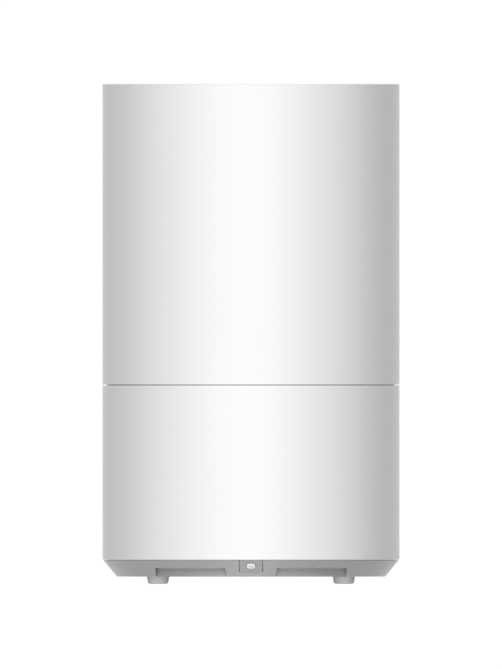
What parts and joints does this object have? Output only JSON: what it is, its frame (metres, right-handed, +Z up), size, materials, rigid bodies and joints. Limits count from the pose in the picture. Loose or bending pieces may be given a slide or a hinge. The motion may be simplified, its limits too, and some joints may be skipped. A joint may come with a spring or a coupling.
{
  "type": "cool mist humidifier",
  "caption": "Upright cylindrical ultrasonic cool mist humidifier: white lift-off water tank over a white base, with a grey tapered skirt, a small front button and rubber feet.",
  "frame": {"origin": "on the body's axis, in the plane that the four feet stand on", "axes": "+Z up along the body's axis; the front, where the button is, faces -Y; +X is to the right as seen from the front"},
  "size_m": [0.19, 0.19, 0.32],
  "materials": {
    "white_abs": "glossy moulded white ABS",
    "white_pp": "satin moulded white polypropylene",
    "grey_abs": "fine satin moulded grey ABS",
    "grey_rubber": "moulded grey rubber",
    "silicone": "translucent silicone",
    "filter_foam": "open-cell filter foam",
    "black_plastic": "moulded black plastic",
    "circuit_board": "green solder mask",
    "steel": "bright zinc plate",
    "brass": "turned brass",
    "aluminium": "extruded aluminium",
    "red_sleeve": "red wire sleeve"
  },
  "bodies": {
    "base": {"base_shell": "white_abs", "bottom_cover": "grey_abs", "foot_front_left": "grey_rubber", "foot_front_right": "grey_rubber", "foot_rear_left": "grey_rubber", "foot_rear_right": "grey_rubber", "cover_screw_1": "steel", "cover_screw_2": "steel", "cover_screw_3": "steel", "cover_screw_4": "steel", "button_panel": "grey_abs", "switch_carrier": "grey_abs", "tact_switch": "black_plastic", "switch_board": "circuit_board", "dc_jack": "black_plastic", "dc_jack_pin": "brass", "driver_board": "circuit_board", "heat_sink": "aluminium", "capacitor": "black_plastic", "terminal_block": "black_plastic", "jack_lead": "black_plastic", "fan_lead": "black_plastic", "transducer_lead": "red_sleeve", "sensor_lead": "white_pp", "switch_lead": "white_pp", "intake_filter": "filter_foam", "fan_frame": "black_plastic", "fan_screw_1": "steel", "fan_screw_2": "steel", "air_duct": "white_pp", "basin": "white_pp", "transducer_disc": "steel", "transducer_gasket": "silicone", "transducer_plate": "steel", "transducer_screw_1": "steel", "transducer_screw_2": "steel", "transducer_screw_3": "steel", "air_hood": "white_pp", "float_cap": "white_pp", "float_sensor": "circuit_board"},
    "button": {"power_button": "white_abs"},
    "fan": {"fan_rotor": "black_plastic"},
    "float": {"float_ring": "white_pp"},
    "tank": {"tank_shell": "white_abs", "tank_floor": "white_abs", "mist_duct": "white_pp", "duct_seal": "silicone", "mist_chamber": "white_pp", "valve_body": "white_pp", "valve_nut": "white_pp", "valve_spring": "steel"},
    "valve": {"valve_plunger": "white_pp", "valve_seal": "silicone"},
    "lid": {"lid": "white_abs", "lid_seal": "silicone"},
    "nozzle": {"mist_nozzle": "white_abs"}
  },
  "joints": [
    {"name": "tank_lift", "type": "slide", "parent": "base", "child": "tank", "axis": [0, 0, 1], "range_m": [0, 0.032]},
    {"name": "valve_close", "type": "slide", "parent": "tank", "child": "valve", "axis": [0, 0, 1], "range_m": [-0.0048, 0], "deforming": ["valve_spring"]},
    {"name": "lid_lift", "type": "slide", "parent": "tank", "child": "lid", "axis": [0, 0, 1], "range_m": [0, 0.022]},
    {"name": "nozzle_turn", "type": "hinge", "parent": "lid", "child": "nozzle", "pos_m": [0, 0, 0.31], "axis": [0, 0, 1], "continuous": true},
    {"name": "button_press", "type": "slide", "parent": "base", "child": "button", "axis": [0, 0.773, 0.6344], "range_m": [0, 0.0006], "stiffness_N_per_m": 400},
    {"name": "fan_spin", "type": "hinge", "parent": "base", "child": "fan", "pos_m": [0, 0.017, 0.0176], "axis": [0, 0, 1], "continuous": true},
    {"name": "float_rise", "type": "slide", "parent": "base", "child": "float", "axis": [0, 0, 1], "range_m": [0, 0.01]}
  ],
  "couplings": [
    {"joint": "valve_close", "follows": "tank_lift", "ratio": -0.15}
  ]
}
